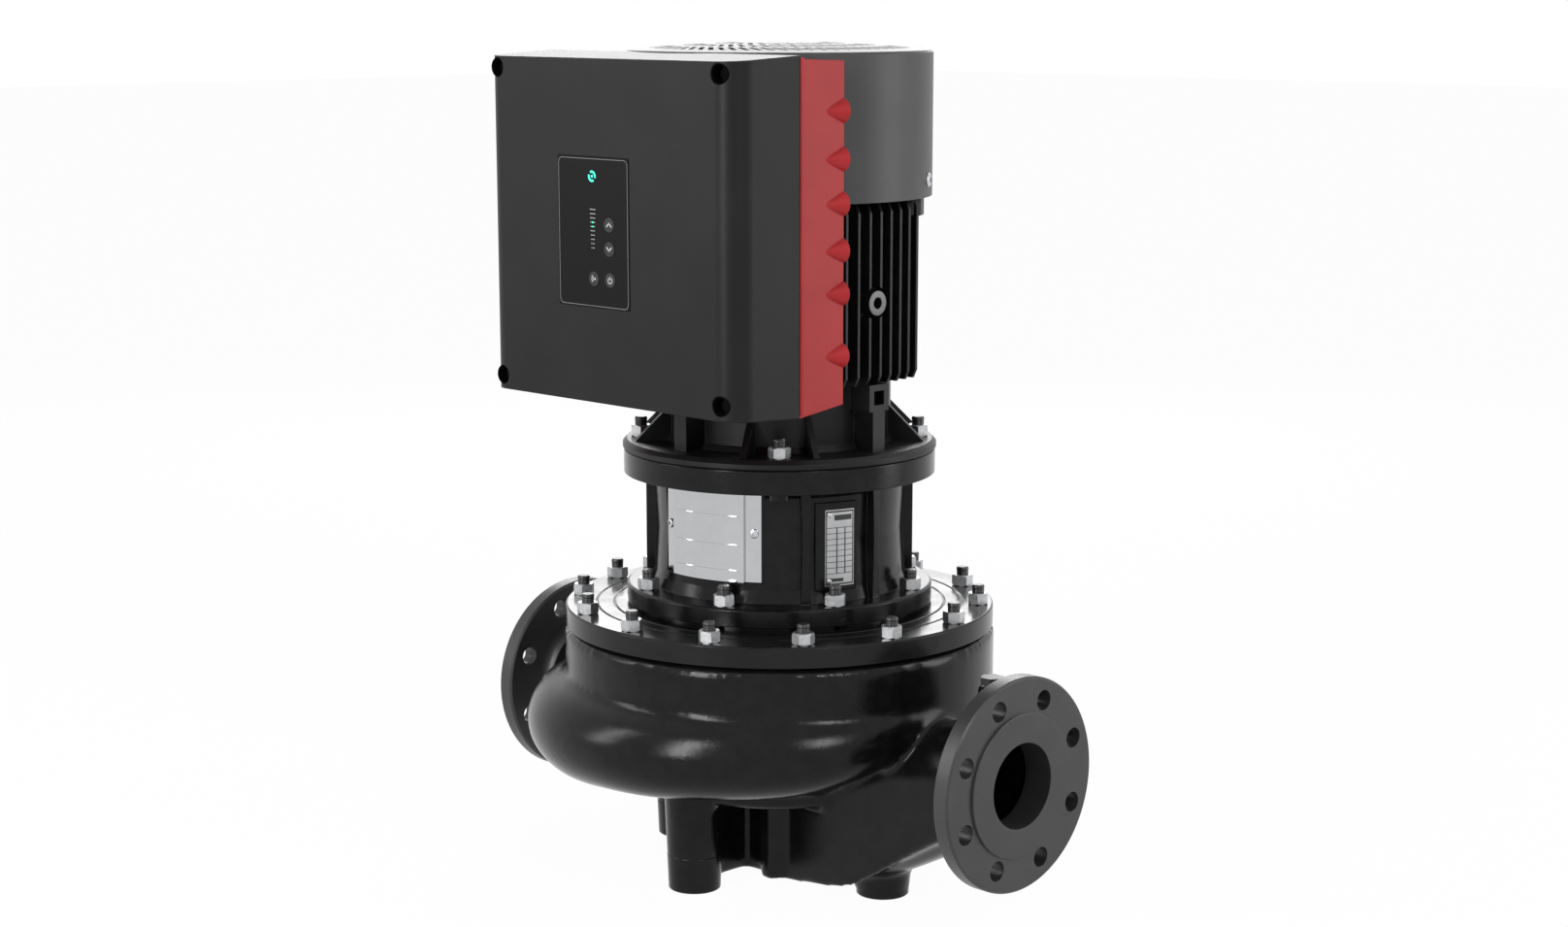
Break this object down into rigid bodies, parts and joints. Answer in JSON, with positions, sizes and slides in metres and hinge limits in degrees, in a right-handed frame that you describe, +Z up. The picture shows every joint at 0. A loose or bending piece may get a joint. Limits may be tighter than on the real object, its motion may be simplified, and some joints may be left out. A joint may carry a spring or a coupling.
{
  "type": "in-line pump",
  "caption": "Flanged in-line centrifugal pump with a vertical motor, a coupling stool and a motor-mounted control box.",
  "frame": {"origin": "on the floor plane, on the shaft axis, midway between the two X feet", "axes": "+X out of the suction flange, +Z up along the shaft, the control box faces -Y"},
  "size_m": [0.62, 0.444, 0.8041],
  "materials": {
    "cast_paint": "black semi-gloss paint on cast iron",
    "cover_paint": "smooth glossy black paint",
    "black_stud": "black-oxide steel",
    "zinc_nut": "bright zinc plate",
    "gasket": "flat black gasket",
    "bronze": "turned bronze",
    "cast_bare": "bare casting, machined rims",
    "shaft_steel": "ground stainless steel",
    "seal_face": "lapped dark ceramic",
    "stainless_sheet": "mirror-bright stainless sheet",
    "plate": "satin aluminium, bare",
    "motor_paint": "black paint on cast aluminium",
    "fan_cover_paint": "dark grey satin paint",
    "winding": "varnished copper",
    "lamination": "stacked electrical sheet",
    "bearing": "polished bearing steel",
    "fan_plastic": "black moulded plastic",
    "box_cover_plastic": "charcoal fine-textured plastic",
    "box_base_red": "red satin paint",
    "panel_film": "dark film with a grey frame line",
    "button_cap": "dark grey key",
    "green_light": "lit green lens",
    "pale_mark": "pale printed bars",
    "board": "green circuit board",
    "terminal": "grey terminal block",
    "screw_steel": "bright screw heads",
    "black_screw": "black screws"
  },
  "bodies": {
    "pump": {"pump_housing": "cast_paint", "pump_cover": "cover_paint", "cover_gasket": "gasket", "wear_ring": "bronze", "cover_studs": "black_stud", "cover_nuts": "zinc_nut", "gauge_plug": "black_screw", "drain_plug": "black_screw", "motor_stool": "cast_paint", "stool_studs": "black_stud", "stool_nuts": "zinc_nut", "front_coupling_guard": "stainless_sheet", "rear_coupling_guard": "stainless_sheet", "guard_screws": "screw_steel", "name_plate": "plate", "seal_seat": "seal_face", "drive_end_shield": "motor_paint", "motor_studs": "black_stud", "motor_nuts": "zinc_nut", "stator_housing": "motor_paint", "stator_core": "lamination", "stator_windings": "winding", "rear_end_shield": "motor_paint", "lower_bearing_outer_ring": "bearing", "upper_bearing_outer_ring": "bearing", "fan_cover": "fan_cover_paint", "fan_cover_screws": "screw_steel", "box_base": "box_base_red", "box_cover": "box_cover_plastic", "box_screws": "black_screw", "display_panel": "panel_film", "indicator_light": "green_light", "circuit_board": "board", "terminal_block": "terminal", "level_lights": "pale_mark"},
    "rotor": {"pump_shaft": "shaft_steel", "motor_shaft": "shaft_steel", "impeller": "cast_bare", "impeller_key": "shaft_steel", "impeller_washer": "shaft_steel", "impeller_nut": "shaft_steel", "seal_rotating_ring": "seal_face", "seal_collar": "shaft_steel", "coupling_half_a": "cast_bare", "coupling_half_b": "cast_bare", "coupling_screws": "black_screw", "rotor_core": "lamination", "lower_bearing_inner_ring": "bearing", "upper_bearing_inner_ring": "bearing", "cooling_fan": "fan_plastic"},
    "lower_balls": {"lower_bearing_balls": "bearing"},
    "upper_balls": {"upper_bearing_balls": "bearing"},
    "up_key": {"up_button": "button_cap"},
    "down_key": {"down_button": "button_cap"},
    "radio_key": {"radio_button": "button_cap"},
    "power_key": {"power_button": "button_cap"}
  },
  "joints": [
    {"name": "rotor_spin", "type": "hinge", "parent": "pump", "child": "rotor", "pos_m": [0, 0, 0.14], "axis": [0, 0, 1], "continuous": true},
    {"name": "lower_cage_spin", "type": "hinge", "parent": "pump", "child": "lower_balls", "pos_m": [0, 0, 0.442], "axis": [0, 0, 1], "continuous": true},
    {"name": "upper_cage_spin", "type": "hinge", "parent": "pump", "child": "upper_balls", "pos_m": [0, 0, 0.672], "axis": [0, 0, 1], "continuous": true},
    {"name": "up_press", "type": "slide", "parent": "pump", "child": "up_key", "axis": [0, 1, 0], "range_m": [0, 0.001], "stiffness_N_per_m": 400, "springref_m": -0.0005},
    {"name": "down_press", "type": "slide", "parent": "pump", "child": "down_key", "axis": [0, 1, 0], "range_m": [0, 0.001], "stiffness_N_per_m": 400, "springref_m": -0.0005},
    {"name": "radio_press", "type": "slide", "parent": "pump", "child": "radio_key", "axis": [0, 1, 0], "range_m": [0, 0.001], "stiffness_N_per_m": 400, "springref_m": -0.0005},
    {"name": "power_press", "type": "slide", "parent": "pump", "child": "power_key", "axis": [0, 1, 0], "range_m": [0, 0.001], "stiffness_N_per_m": 400, "springref_m": -0.0005}
  ],
  "couplings": [
    {"joint": "lower_cage_spin", "follows": "rotor_spin", "ratio": 0.406},
    {"joint": "upper_cage_spin", "follows": "rotor_spin", "ratio": 0.44}
  ]
}
